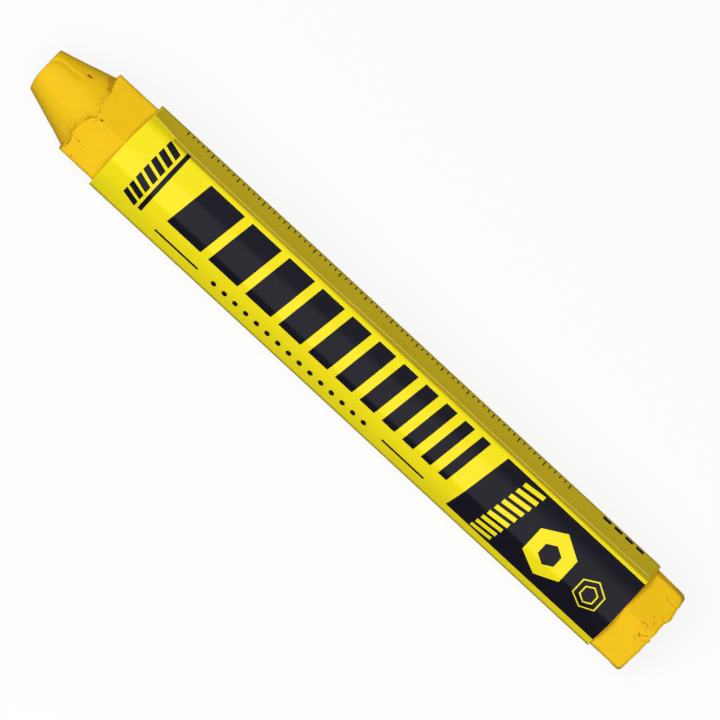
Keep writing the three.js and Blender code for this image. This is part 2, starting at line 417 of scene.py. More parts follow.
def labelPlace(co):
    # Where a point of the flat sheet lies on the sleeve
    fromFront, around = co.x, co.y
    length, trim = sleeve["length"], sleeve["trim"]
    height = labelHeight(fromFront + sleeve["front"], around)
    onLap, nearEdge = (
        smoothStep(labelGirth - start, labelGirth - stop, around)
        for start, stop in (trim["lapSpan"], trim["edgeSpan"]))
    lowFrom, lowMiddle, lowTo = trim["lowerSpan"]
    onLower = smoothStep(lowFrom, lowMiddle, around) * (1 - smoothStep(lowMiddle, lowTo, around))
    atFront = 1 - smoothStep(0, trim["length"], fromFront)
    atRear = smoothStep(length - trim["length"], length, fromFront)
    slant = trim["front"] * (1 - smoothStep(*trim["frontSpan"], around))
    shift = (trim["lapFront"] * onLap + slant) * atFront
    shift -= (trim["lapRear"] * onLap + trim["lowerRear"] * onLower) * atRear
    around += alongCurve(lapStray, fromFront) * nearEdge
    return onSleeve(fromFront + shift + sleeve["front"], around, height)


# The label's print, and its strip of painted shade, as flat outlines on the sheet: (along from the front
# edge, round from the crease beside the lap). The print is all plain bars, ticks, dots and hexagons.

labelPrintAndShade = {
    "past": 1.0,        # how far an outline runs on past the sheet's end
    # Painted shade: a darker yellow strip beside the lap, where the sleeve turns away from the light
    "paintedShadeStrip": {"width": 4.1, "start": 4.6, "toCrease": 0.05},
    "acrossBar": {"along": 7.5, "around": -0.55, "width": 0.75, "depth": 11.7},
    "blocks": {"count": 7, "along": 4.4, "around": 0.2, "pitch": 1.6, "width": 2.6, "depth": 1.1,
               "lean": 0.45},
    "stripes": {"count": 11, "along": 13.2, "around": 0.8, "width": 6.6, "depth": 8.45,
                "slant": 0.148, "shrink": 0.87, "gap": 1.5},
    "rules": {"spans": ((11.5, 19.9), (56.0, 64.2)), "around": 11.8, "depth": 0.42},
    "dots": {"count": 15, "along": 23.0, "pitch": 2.1, "around": 12.0, "radius": 0.52},
    "panel": {"top": 0.6, "bottom": 12.8, "topStart": 71.2, "bottomStart": 69.0},
    "ladder": {"count": 9, "along": 75.4, "around": 1.1, "pitch": 1.28, "width": 3.6, "depth": 0.72,
               "lean": 0.4},
    "hexagons": [{"along": 85.0, "around": 6.9, "radii": (4.1, 1.75)},
                 {"along": 93.0, "around": 7.3, "radii": (2.5, 2.25, 1.45, 1.2)}],
    "ticks": {"from": 5.4, "to": 80.4, "pitch": 1.0, "around": -4.2, "width": 0.2, "long": 1.0,
              "short": 0.6, "longEach": 5},
    "dashes": {"along": (87.0, 89.2, 91.4, 93.6), "width": 1.5, "depth": 0.6},
}


def bar(along, around, width, depth, slant=0.0):
    return [(along - slant * d + w, around + d)
            for w, d in ((0, 0), (width, 0), (width, depth), (0, depth))]


def block(along, leftAround, rightAround, width, depth):
    return [(along, leftAround), (along + width, rightAround),
            (along + width, rightAround + depth), (along, leftAround + depth)]


def hexagon(along, around, radius, turn=0):
    return [(along + radius * cos(radians(60 * i + turn)), around + radius * sin(radians(60 * i + turn)))
            for i in range(6)]


def makePrintAndShade():
    # (material index, outline) pairs in printing order: 0 is yellow, 1 is black and 2 is the darker yellow
    # of painted shade.
    yellow, black, paintedShadeStrip = 0, 1, 2
    shapes = []
    past = labelPrintAndShade["past"]
    beyond = sleeve["length"] + past

    # Painted shade: the strip on the flap and beside it, in the darker yellow.
    strip = labelPrintAndShade["paintedShadeStrip"]
    lapEnd = labelStart + labelWidth
    for start, low, high in (
            (-past, lapEnd - strip["width"], lapEnd + past),
            (strip["start"], lapEnd - strip["width"] - labelGirth, -strip["toCrease"])):
        shapes.append((paintedShadeStrip, bar(start, low, beyond - start, high - low)))

    shapes.append((black, bar(**labelPrintAndShade["acrossBar"])))
    blocks = labelPrintAndShade["blocks"]
    for i in range(blocks["count"]):
        left = blocks["around"] + i * blocks["pitch"]
        right = left + blocks["depth"] * blocks["lean"]
        shapes.append((black, block(blocks["along"], left, right, blocks["width"], blocks["depth"])))

    stripes = labelPrintAndShade["stripes"]
    along, width = stripes["along"], stripes["width"]
    for _ in range(stripes["count"]):
        shapes.append((black, bar(along, stripes["around"], width, stripes["depth"], stripes["slant"])))
        along += width + stripes["gap"]
        width *= stripes["shrink"]

    rules = labelPrintAndShade["rules"]
    for start, end in rules["spans"]:
        shapes.append((black, bar(start, rules["around"], end - start, rules["depth"])))
    dots = labelPrintAndShade["dots"]
    for i in range(dots["count"]):
        shapes.append((black, hexagon(dots["along"] + i * dots["pitch"], dots["around"], dots["radius"])))

    panel = labelPrintAndShade["panel"]
    shapes.append((black, [
        (panel["topStart"], panel["top"]), (beyond, panel["top"]),
        (beyond, panel["bottom"]), (panel["bottomStart"], panel["bottom"])]))
    ladder = labelPrintAndShade["ladder"]
    slant = (panel["topStart"] - panel["bottomStart"]) / (panel["bottom"] - panel["top"])
    for i in range(ladder["count"]):
        fromFirst = i * ladder["pitch"]
        right = ladder["around"] + fromFirst
        shapes.append((yellow, block(
            ladder["along"] - slant * fromFirst, right + ladder["lean"], right,
            ladder["width"], ladder["depth"])))
    for rings in labelPrintAndShade["hexagons"]:
        for i, radius in enumerate(rings["radii"]):
            faceMaterial = black if i % 2 else yellow
            shapes.append((faceMaterial, hexagon(rings["along"], rings["around"], radius, turn=90)))

    ticks = labelPrintAndShade["ticks"]
    tickStart = ticks["around"] + labelGirth
    for i in range(round((ticks["to"] - ticks["from"]) / ticks["pitch"]) + 1):
        depth = ticks["short"] if i % ticks["longEach"] else ticks["long"]
        shapes.append((black, bar(ticks["from"] + i * ticks["pitch"], tickStart, ticks["width"], depth)))
    dashes = labelPrintAndShade["dashes"]
    for along in dashes["along"]:
        shapes.append((black, bar(along, tickStart, dashes["width"], dashes["depth"])))
    return shapes


def cutOutline(mesh, outline):
    # Cuts the sheet along each side of a convex outline, only where the outline lies.
    xs, ys = [p[0] for p in outline], [p[1] for p in outline]
    margin = 1e-4
    low = (min(xs) + margin, min(ys) + margin)
    high = (max(xs) - margin, max(ys) - margin)
    sides = [((x, 0), (1, 0)) for x in (min(xs), max(xs))]
    sides += [((0, y), (0, 1)) for y in (min(ys), max(ys))]
    for (x0, y0), (x1, y1) in zip(outline, outline[1:] + outline[:1]):
        if abs(x1 - x0) > margin and abs(y1 - y0) > margin:
            sides.append(((x0, y0), Vector((y1 - y0, x0 - x1)).normalized()))
    for point, normal in sides:
        bpy.ops.mesh.select_all(action="DESELECT")
        found = False
        for face in mesh.faces:
            corners = [vertex.co for vertex in face.verts]
            touches = (min(c.x for c in corners) < high[0] and max(c.x for c in corners) > low[0]
                       and min(c.y for c in corners) < high[1] and max(c.y for c in corners) > low[1])
            if touches:
                face.select = True
                found = True
        if found:
            cutAt((*point, 0), (*normal, 0))


def isInside(outline, x, y):
    turns = [(x1 - x0) * (y - y0) - (y1 - y0) * (x - x0)
             for (x0, y0), (x1, y1) in zip(outline, outline[1:] + outline[:1])]
    return all(t > 0 for t in turns) or all(t < 0 for t in turns)


def flatSheet(name, front, length, start, width):
    # A flat sheet in the XY plane: X along from the label's front edge, Y round from the lap's crease
    bpy.ops.object.select_all(action="DESELECT")
    bpy.ops.mesh.primitive_plane_add(size=1, location=(0, 0, 0))
    sheet = bpy.context.active_object
    sheet.name = name
    startEdit(sheet)
    bpy.ops.mesh.select_all(action="SELECT")
    bpy.ops.transform.resize(value=(length, width, 1), center_override=(0, 0, 0))
    bpy.ops.transform.translate(value=(front + length / 2, start + width / 2, 0))
    bpy.ops.mesh.flip_normals()     # so that its face points away from the stick when it is wrapped
    endEdit()
    return sheet


def gridSheet(sheet, alongPitch, aroundPitch):
    # Cuts the sheet finely enough to wrap it.
    corners = [vertex.co for vertex in sheet.data.vertices]
    startEdit(sheet)
    for axis, pitch in ((0, alongPitch), (1, aroundPitch)):
        low, high = min(c[axis] for c in corners), max(c[axis] for c in corners)
        count = round((high - low) / pitch)
        for i in range(1, count):
            point = [0, 0, 0]
            normal = [0, 0, 0]
            point[axis] = low + (high - low) * i / count
            normal[axis] = 1
            bpy.ops.mesh.select_all(action="SELECT")
            cutAt(point, normal)
    endEdit()


def thicken(sheet, thickness, evenOffset=True, rimOffset=0):
    # Gives a wrapped sheet its thickness inwards. Its back and rim take the material that stands so
    # many places after the face's own.
    solid = sheet.modifiers.new("paperThickness", "SOLIDIFY")
    solid.thickness = thickness
    solid.offset = -1
    solid.use_even_offset = evenOffset
    solid.material_offset = rimOffset
    solid.material_offset_rim = rimOffset
    bpy.context.view_layer.objects.active = sheet
    bpy.ops.object.modifier_apply(modifier=solid.name)


sheetSmoothAngle = 35       # a crease sharper than this stays sharp


def makeLabel():
    sheet = flatSheet("printed_label_paper", 0, sleeve["length"], labelStart, labelWidth)
    shapes = makePrintAndShade()
    mesh = startEdit(sheet)
    for _, outline in shapes:
        cutOutline(mesh, outline)
    endEdit()
    gridSheet(sheet, 2.0, 0.25)
    printsAndShade = (yellowPrint, blackPrint, paintedShadeYellow)
    for material in (*printsAndShade, barePaper):
        sheet.data.materials.append(material)
    boxes = [(faceMaterial, outline, min(p[0] for p in outline), max(p[0] for p in outline))
             for faceMaterial, outline in shapes]
    for face in sheet.data.polygons:
        centre = face.center
        for faceMaterial, outline, low, high in boxes:
            if low < centre.x < high and isInside(outline, centre.x, centre.y):
                face.material_index = faceMaterial
    print("label printed:", len(sheet.data.polygons), "faces")
    moveVertices(sheet, labelPlace)
    thicken(sheet, sleeve["labelThickness"], rimOffset=len(printsAndShade))
    for face in sheet.data.polygons:
        face.material_index = min(face.material_index, len(printsAndShade))
    finishPiece(sheet, "printedLabel", sheetSmoothAngle)
    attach(sheet, "sleeve")
    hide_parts("printed_label")


def makeLiner():
    setback = sleeve["linerSetback"]
    sheet = flatSheet("liner_paper", setback, sleeve["length"] - 2 * setback, 0, labelGirth)
    gridSheet(sheet, 4.0, 0.4)
    sheet.data.materials.append(kraftPaper)
    # Its two edges meet on the crease beside the lap.
    moveVertices(sheet, lambda co: onSleeve(
        co.x + sleeve["front"], min(co.y, labelGirth - 1e-4), -sleeve["layerPitch"]))
    startEdit(sheet, "VERT")
    bpy.ops.mesh.select_all(action="SELECT")
    bpy.ops.mesh.remove_doubles(threshold=0.02)
    endEdit()
    thicken(sheet, sleeve["linerThickness"], evenOffset=False)
    finishPiece(sheet, "innerSleeve", sheetSmoothAngle)
    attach(sheet, "sleeve")
    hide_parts("inner_sleeve")


glue = {
    "thickness": 0.025, "setback": 1.2, "squeeze": 0.25, "squeezeWidth": 0.8,
    "lapMargin": 0.5, "lapEdgeMargin": 2.2, "lapHeight": 0.035,
    "startMargin": 0.3, "startWidth": 3.0, "startHeight": -0.097,
}


def makeGlueFilm(name, node, start, width, height):
    # A film of glue between two layers of paper, a little short of the label's ends
    length = sleeve["length"] - 2 * glue["setback"]
    film = flatSheet(name, glue["setback"], length, start, width)
    gridSheet(film, 3.0, 0.4)
    film.data.materials.append(starchGlue)

    def place(co):
        # The film's far edge is squeezed out unevenly.
        squeeze = glue["squeeze"] * noise.noise(Vector((co.x * 0.35, co.y * 0.2, start)))
        squeeze *= smoothStep(glue["squeezeWidth"], 0, start + width - co.y)
        return onSleeve(co.x + sleeve["front"], co.y + squeeze, height)

    moveVertices(film, place)
    thicken(film, glue["thickness"])
    finishPiece(film, name, sheetSmoothAngle)
    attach(film, "sleeve")
    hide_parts(node)


makeLabel()
makeLiner()
makeGlueFilm(
    "lapGlue", "lap_glue", labelGirth + labelStart + glue["lapMargin"],
    sleeve["lapWidth"] - glue["lapMargin"] - glue["lapEdgeMargin"], glue["lapHeight"])
makeGlueFilm(
    "startGlue", "start_glue", labelStart + glue["startMargin"], glue["startWidth"], glue["startHeight"])
print("sleeve wrapped")


# The stick of paint. A place on it is the distance from the tip and the angle round the axis from
# the corner that faces the camera, positive towards the lower face.

stick = {
    "tip": -60.0, "length": 120.0, "sides": 384, "crowding": 20,
    "noseLength": 9.2, "noseBase": 6.3, "tipRadius": 3.45, "tipFlat": 3.2, "rimLength": 0.22,
    "ledge": 0.6, "ledgeDepth": 0.12, "shoulderZone": 4.0, "shoulderRounding": 0.08,
    "frontAcrossFlats": 13.85, "rearAcrossFlats": 14.42,
    "cornerRadius": 0.9, "facingCornerRadius": 0.02,
    "chamferCorner": -66, "chamferDepth": 0.475, "chamferFrom": 0.9, "chamferFull": 0.95,
    "buttZone": 7.0, "clearance": 0.03,
    "tipShift": 0.2, "tipWear": 0.43, "tipWearFrom": 1.0, "tipWearLength": 4.0, "sag": 0.1,
    # The break at the butt: how far its raggedness carries forward, its rounded rim, and its rough
    # face, which is dished a little. The hidden half is a calmer copy of the half that is seen.
    "breakage": {
        "carry": 3.5, "wander": 0.12, "rimRounding": 0.22, "rimLength": 0.5, "rimWidth": 0.9,
        "faceRoughness": 0.28, "dish": 0.12, "faceMargin": 1.5, "hiddenReach": 0.9, "hiddenShare": 0.6,
    },
    # The facet rubbed along the nose: how far it reaches past its valley, how it fades towards the
    # shoulder, and the low ridge that its far side has for part of the way
    "facet": {
        "reach": 5.0, "fadeFrom": 3.2, "fadeTo": 6.8, "fade": 0.85,
        "ridgePast": 1.55, "ridgeEdge": 0.4, "ridgeWidth": 2.2, "ridgeDrop": 0.05,
        "ridgeFrom": 2.2, "ridgeTo": 5.2, "ridgeEase": 1.0,
    },
    # How much painted shade darkens the hollow, the shoulder's ledge and the flattened corner
    "paintedShadeAmounts": {"hollow": 0.3, "ledge": 0.05, "chamfer": 0.14, "chamferShift": 4, "chamferWidth": 6},
    # The paint's relief: soft waves and ripples in the cast faces, crumbling along both broken edges,
    # and small plates of paint beside them
    "relief": {
        "wave": 0.045, "wavesPerMm": 0.35, "ripple": 0.012, "ripplesPerMm": 1.6,
        "crumble": 0.04, "crumblesPerMm": 1.9, "shoulderCrumble": 0.4, "buttCrumble": 1.0,
        "calmAngle": -75, "calmWidth": 22, "calm": 0.8,
        "shoulderPlates": 0.035, "buttPlates": 0.04, "plateSize": 0.4, "leastPlate": 0.004,
    },
    # Loose grains of paint stuck along both broken edges: half of them by each, and half in view
    "crumbs": {
        "count": 44, "seed": 7, "smallest": 0.04, "largest": 0.1, "lumpiness": 0.35,
        "pastShoulder": (-0.25, 0.3), "beforeButt": (0.2, 1.6),
        "anglesInView": (-40, 55), "anglesBehind": (130, 280),
    },
}
shoulder = stick["tip"] + stick["noseLength"]
butt = stick["tip"] + stick["length"]
blankRadius = stick["noseBase"] + stick["ledge"]
rimStart = stick["tip"] + stick["rimLength"]
acrossView = Vector((0, -sin(radians(cornerToCamera)), cos(radians(cornerToCamera))))

# How far the shoulder's edge lies back from the nose's base, by the angle. The far side is a plain
# scallop on each face.
shoulderLine = [
    (-180, 1.1), (-165, 0.35), (-150, 0.0), (-135, 0.3), (-120, 1.0), (-105, 0.35), (-90, -0.1),
    (-75, -0.35), (-60, -0.46), (-52, -0.24), (-46, 0.0), (-41, 0.22), (-37.5, 0.4), (-32.5, 0.46),
    (-26.5, 0.46), (-21, 0.52), (-14, 0.78), (-7.7, 1.18), (-3.6, 1.75), (-1.5, 2.1), (0.8, 1.35),
    (5, 0.66), (9.8, 0.55), (15.5, 0.4), (23, 0.3), (28, 0.28), (35.5, 0.3), (40, 0.36), (42, 0.75),
    (49.5, 0.82), (55.5, 0.75), (59, 0.45), (75, 0.2), (90, 0.2), (105, 0.4), (120, 1.1), (135, 0.3),
    (150, 0.0), (165, 0.4), (180, 1.1),
]
# How far the ledge slopes along the stick, by the angle
ledgeRun = [(-180, 0.15), (36, 0.15), (46, 0.25), (60, 0.25), (75, 0.15), (180, 0.15)]
# The nose flares out into the shoulder: how high, and how far back it goes, by the angle
flareHeight = [(-180, 0.05), (-46, 0.05), (-34, 0.34), (-15, 0.65), (-2, 0.8), (8, 0.9), (20, 0.75),
               (34, 0.6), (46, 0.25), (62, 0.05), (180, 0.05)]
flareStart = [(-180, 0.3), (-40, 0.2), (-16, 0.7), (-1, 1.4), (8, 0.7), (22, 0.05), (50, 0.5), (180, 0.3)]
flareLength = 0.75
# How far the broken butt reaches past its nominal end, by the place across the stick as the camera
# sees it, from the upper edge to the lower
buttLine = [
    (-7.2, -1.5), (-6.92, -0.95), (-6.72, -0.6), (-6.46, -0.3), (-6.17, -0.12), (-5.54, 0.02),
    (-5.0, -0.05), (-4.46, 0.08), (-3.83, 0.22), (-3.2, 0.35), (-2.66, 0.26), (-2.3, -0.01),
    (-1.67, -0.05), (-0.77, -0.03), (-0.05, 0.04), (0.85, -0.05), (1.3, 0.17), (1.75, -0.01),
    (2.74, -0.01), (3.19, 0.04), (4.45, -0.05), (5.89, -0.14), (6.79, -0.28), (7.33, -0.41), (7.7, -0.73),
]
# How far the lower and the upper face stand out near the butt, by the distance from its end
lowerFlare = [(0.0, 0.08), (0.35, 0.2), (0.8, 0.2), (1.4, 0.1), (2.2, 0.05), (3.6, 0.06), (5.6, 0.1),
              (7.0, 0.0)]
upperFlare = [(0.0, -0.7), (0.3, -0.6), (0.6, -0.42), (1.05, -0.26), (2.0, -0.17), (3.6, -0.04),
              (5.0, 0.05), (7.0, 0.0)]
# The facet rubbed along the nose: its valley's angle by the distance from the tip, and its depth by
# the distance past the valley
valleyLine = [(0.0, -4), (0.17, -10), (0.57, -20), (1.1, -25), (2.2, -25.5), (3.5, -23.2), (4.8, -22.8),
              (6.1, -22), (9.2, -21)]
valleyDepth = [(-0.1, 0.0), (0.95, -0.2), (1.6, -0.06), (2.6, 0.0)]
# Where the hollow broken out under the shoulder's upper edge starts, by the angle
hollowLine = [(-92, 8.0), (-82, 7.6), (-73, 7.6), (-64, 7.84), (-43, 8.63), (-38, 9.3)]
hollowDepth = 0.22
# Cracks, dents and lips. Each is a path of (distance from the tip, place across the stick as the
# camera sees it), its depth, its half width and how much painted shade darkens it. A lip's depth is
# negative.
marks = [
    ([(5.2, -3.7), (5.9, -3.72)], 0.08, 0.16, 0.2),
    ([(5.5, -3.8), (6.0, -3.78)], 0.2, 0.13, 1.0),
    ([(11.39, -0.27)], 0.35, 0.16, 1.0),
    ([(11.0, -0.5), (11.3, -0.3)], 0.12, 0.1, 0.3),
    ([(11.0, -3.79)], 0.12, 0.11, 0.5),
    ([(9.08, -2.63)], 0.12, 0.1, 0.4),
    ([(8.93, -1.83), (9.32, -1.27)], 0.07, 0.09, 0.15),
    ([(9.72, -1.83), (10.16, -1.27)], 0.09, 0.09, 0.2),
    ([(10.2, -1.1), (10.68, -0.99)], 0.08, 0.09, 0.15),
    ([(10.2, 0.85), (10.92, 0.45)], 0.07, 0.1, 0.2),
    ([(9.56, 0.69)], 0.12, 0.2, 0.3),
    ([(9.52, 1.29)], 0.12, 0.12, 0.4),
    ([(8.88, 2.85), (9.04, 3.37)], 0.08, 0.16, 0.2),
    ([(9.24, 4.17), (9.88, 4.25), (10.52, 4.33), (10.91, 4.27)], 0.07, 0.07, 0.3),
    ([(10.91, 4.27)], 0.2, 0.1, 1.0),
    ([(11.8, 4.51)], 0.14, 0.08, 0.6),
    ([(11.46, 4.43)], 0.08, 0.07, 0.4),
    ([(11.72, 4.17)], 0.05, 0.06, 0.25),
    ([(11.2, 5.41)], 0.05, 0.14, 0.1),
    ([(11.52, 6.6)], 0.12, 0.12, 0.8),
    ([(13.0, 6.75)], 0.1, 0.1, 0.6),
    ([(15.1, -4.4)], 0.06, 0.09, 0.3),
    ([(15.2, 5.1)], 0.05, 0.1, 0.25),
    ([(117.66, -5.27), (118.12, -5.0), (118.84, -4.95), (119.3, -4.9)], 0.05, 0.14, 0.2),
    ([(118.3, -5.3), (119.0, -5.25)], -0.04, 0.26, 0),
    ([(118.15, -1.98)], 0.09, 0.13, 0.4),
    ([(118.8, -1.22)], 0.07, 0.12, 0.3),
    ([(115.3, -0.86)], 0.05, 0.12, 0.2),
    ([(117.3, 0.0), (117.58, -0.23), (118.03, -0.39), (118.57, -0.16)], 0.13, 0.07, 0.55),
    ([(117.85, 0.1), (118.6, 0.6)], 0.12, 0.36, 0.1),
    ([(117.55, 0.95), (117.75, 1.0)], 0.08, 0.1, 0.3),
    ([(118.12, 1.3), (118.39, 1.75), (118.75, 1.34), (119.38, 0.94)], 0.15, 0.08, 0.5),
    ([(118.37, 1.7)], 0.16, 0.12, 0.7),
    ([(118.65, 1.95), (119.4, 1.4)], -0.1, 0.24, 0),
    ([(117.94, 2.02), (118.21, 2.47), (118.75, 2.69), (119.38, 2.78)], 0.1, 0.08, 0.2),
    ([(118.05, 2.2), (118.21, 2.45)], 0.08, 0.08, 0.3),
    ([(118.75, 2.4), (119.4, 2.5)], -0.05, 0.14, 0),
]
# The same on the side that lies on the table
underMarks = [
    ([(6.2, 2.0), (7.4, 2.3)], 0.12, 0.25, 0.2),
    ([(10.6, -3.4), (11.2, -3.1)], 0.18, 0.3, 0.3),
    ([(12.4, 1.2)], 0.14, 0.12, 0.7),
    ([(10.9, 3.9), (11.5, 4.4)], 0.1, 0.16, 0.3),
    ([(115.8, -2.2)], 0.12, 0.14, 0.6),
    ([(118.0, 3.6), (119.4, 3.0)], 0.16, 0.2, 0.3),
    ([(118.4, -4.6), (119.6, -3.9)], 0.2, 0.3, 0.3),
    ([(117.4, 0.4), (118.2, 0.9), (119.2, 0.7)], 0.12, 0.12, 0.4),
]
markReach = 2.4         # a mark has faded out at this many half widths from its path


def coneRadius(x):
    share = (x - stick["tip"]) / stick["noseLength"]
    return stick["tipRadius"] + (stick["noseBase"] - stick["tipRadius"]) * share


def hexRadius(angle, x):
    # From the axis to the hexagon's rounded outline. One corner is worn flat towards the butt.
    share = min(max((x - shoulder) / (butt - shoulder), 0), 1)
    flat = (stick["frontAcrossFlats"] * (1 - share) + stick["rearAcrossFlats"] * share) / 2
    halfSide = radians(30)
    fromFlat = (angle % 60) - 30
    corner = stick["facingCornerRadius"] if abs(angle) < 30 else stick["cornerRadius"]
    inner = flat - corner
    bend = degrees(atan2(inner * tan(halfSide), flat))
    if abs(fromFlat) <= bend:
        radius = flat / cos(radians(fromFlat))
    else:
        centre = inner / cos(halfSide)
        off = radians(30 - abs(fromFlat))
        radius = centre * cos(off) + (corner ** 2 - (centre * sin(off)) ** 2) ** 0.5
    fromChamfer = radians(angle - stick["chamferCorner"])
    if abs(fromChamfer) < halfSide and share > stick["chamferFrom"]:
        depth = stick["chamferDepth"] * smoothStep(stick["chamferFrom"], stick["chamferFull"], share)
        radius = min(radius, (flat / cos(halfSide) - depth) / cos(fromChamfer))
    return radius


def makeStickBlank():
    # A round blank with its rings where the shape needs them: tip, nose, ledge, body and butt
    length = butt - shoulder
    bpy.ops.object.select_all(action="DESELECT")
    bpy.ops.mesh.primitive_cylinder_add(
        vertices=stick["sides"], radius=blankRadius, depth=length, end_fill_type="NGON",
        location=(shoulder + length / 2, 0, 0), rotation=(0, pi / 2, 0))
    blank = bpy.context.active_object
    bpy.ops.object.transform_apply(location=True, rotation=True, scale=True)

    def extrudeCap(facing, profile, fromX):
        # Draws one end of the blank out through (x, radius) rings and closes it in the middle.
        mesh = startEdit(blank)
        for face in mesh.faces:
            face.select = len(face.verts) > 4 and face.normal.x * facing > 0.9
        x, radius = fromX, blankRadius
        for nextX, nextRadius in profile:
            bpy.ops.mesh.extrude_region_move(TRANSFORM_OT_translate={"value": (nextX - x, 0, 0)})
            scale = nextRadius / radius
            bpy.ops.transform.resize(value=(1, scale, scale), center_override=(nextX, 0, 0))
            x, radius = nextX, nextRadius
        bpy.ops.mesh.merge(type="CENTER")
        endEdit()

    ledgeRings, nearRings, noseRings, capRings, endRings = 6, 18, 36, 8, 24
    riser = [(shoulder - stick["ledgeDepth"] * i / ledgeRings, blankRadius - stick["ledge"] * i / ledgeRings)
             for i in range(1, ledgeRings + 1)]
    riserEnd = riser[-1][0]
    fine, draw = 0.1, 0.01      # the pitch of the rings near the shoulder, and how much each shrinks
    nearEnd = riserEnd - fine * nearRings
    nose = [(riserEnd - fine * i, stick["noseBase"] - draw * i) for i in range(1, nearRings + 1)]
    nose += [(nearEnd + (rimStart - nearEnd) * i / noseRings, nose[-1][1] - i / noseRings)
             for i in range(1, noseRings + 1)]
    rim = [(stick["tip"] + stick["rimLength"] * (1 - sin(radians(a))),
            stick["tipFlat"] + (coneRadius(rimStart) - stick["tipFlat"]) * cos(radians(a)))
           for a in (18, 36, 54, 72, 90)]
    cap = [(stick["tip"], stick["tipFlat"] * (1 - i / capRings)) for i in range(1, capRings)]
    extrudeCap(-1, riser + nose + rim + cap, shoulder)
    extrudeCap(1, [(butt, blankRadius * (1 - i / endRings)) for i in range(1, endRings)], butt)

    startEdit(blank)
    for start, pitch, count in (
            (shoulder + 0.1, 0.1, 25), (shoulder + 2.8, 0.3, 16), (shoulder + 7.5, 3.0, 32),
            (butt - 7.0, 0.3, 13), (butt - 3.3, 0.1, 33)):
        for i in range(count):
            bpy.ops.mesh.select_all(action="SELECT")
            cutAt((start + pitch * i, 0, 0), (1, 0, 0))
    endEdit()
    return blank


def noseRadius(x, angle):
    # From the axis to the nose's surface: a cone, its flare into the shoulder, the facet rubbed
    # along it and the hollow broken out beside the shoulder
    fromTip, facet = x - stick["tip"], stick["facet"]
    radius = coneRadius(x)
    before = shoulder + alongCurve(flareStart, angle) - x
    radius += alongCurve(flareHeight, angle) * exp(-max(before, 0) / flareLength)
    past = radians(alongCurve(valleyLine, fromTip) - angle) * radius
    if facet["reach"] > past > valleyDepth[0][0]:
        edgeEnd = facet["ridgePast"] + facet["ridgeEdge"]
        drop = smoothStep(facet["ridgePast"], edgeEnd, past)
        drop *= 1 - smoothStep(edgeEnd, facet["ridgePast"] + facet["ridgeWidth"], past)
        drop *= smoothStep(facet["ridgeFrom"], facet["ridgeFrom"] + facet["ridgeEase"], fromTip)
        drop *= smoothStep(facet["ridgeTo"], facet["ridgeTo"] - facet["ridgeEase"], fromTip)
        raised = alongCurve(valleyDepth, past) - facet["ridgeDrop"] * drop
        raised *= 1 - smoothStep(facet["fadeFrom"], facet["fadeTo"], fromTip) * facet["fade"]
        radius += raised * smoothStep(-0.1, 0.3, fromTip)
    hollow = 0.0
    if hollowLine[0][0] < angle < hollowLine[-1][0]:
        start = alongCurve(hollowLine, angle)
        hollow = smoothStep(start - 0.05, start + 0.3, fromTip)
        hollow *= smoothStep(-92, -72, angle) * (1 - smoothStep(-42, -38, angle))
        radius -= hollowDepth * hollow
    return radius, hollow


def shapeShoulder(x, radius, angle):
    # The shoulder's edge wanders, and carries the nose's base and the body's front with it.
    setback = alongCurve(shoulderLine, angle) + 0.03 * noise.noise(Vector((angle * 0.3, 0, 0)))
    paintedShadeAmounts = stick["paintedShadeAmounts"]
    riserShare = min(max((shoulder - x) / stick["ledgeDepth"], 0), 1)
    run = alongCurve(ledgeRun, angle)
    edge = shoulder + setback
    # Painted shade: darker and warmer in the hollow under the shoulder and along the ledge.
    paintedShade = 0.0
    if riserShare > 0.999:
        noseEnd = shoulder - stick["ledgeDepth"]
        x += (edge - run - noseEnd) * smoothStep(stick["tip"] + 1.5, noseEnd, x)
        nominal = coneRadius(max(x, rimStart))
        share = radius / nominal if x < rimStart - 0.01 else 1
        x += tipWear(x, nominal * share * sin(radians(angle)))
        onNose, hollow = noseRadius(max(x, rimStart), angle)
        radius = onNose * share
        paintedShade = max(paintedShadeAmounts["hollow"] * hollow, paintedShadeAmounts["ledge"] * smoothStep(edge - run - 0.3, edge - run, x))
    else:
        if riserShare > 0:
            x = edge - run * riserShare
            paintedShade = paintedShadeAmounts["ledge"]
        else:
            x += setback * (1 - smoothStep(shoulder, shoulder + stick["shoulderZone"], x))
        outer = hexRadius(angle, x)
        foot, _ = noseRadius(edge - run, angle)
        radius = outer + (foot - outer) * riserShare ** 0.9
        radius -= stick["shoulderRounding"] * (1 - smoothStep(0, 0.25, x - edge)) * (1 - riserShare)
    return x, radius, edge, paintedShade


def tipWear(x, across):
    # The tip is rubbed back on its lower side.
    worn = max(across - stick["tipWearFrom"], 0) / (stick["tipRadius"] - stick["tipWearFrom"])
    nearTip = 1 - smoothStep(0.5, stick["tipWearLength"], x - stick["tip"])
    return stick["tipWear"] * worn * worn * nearTip


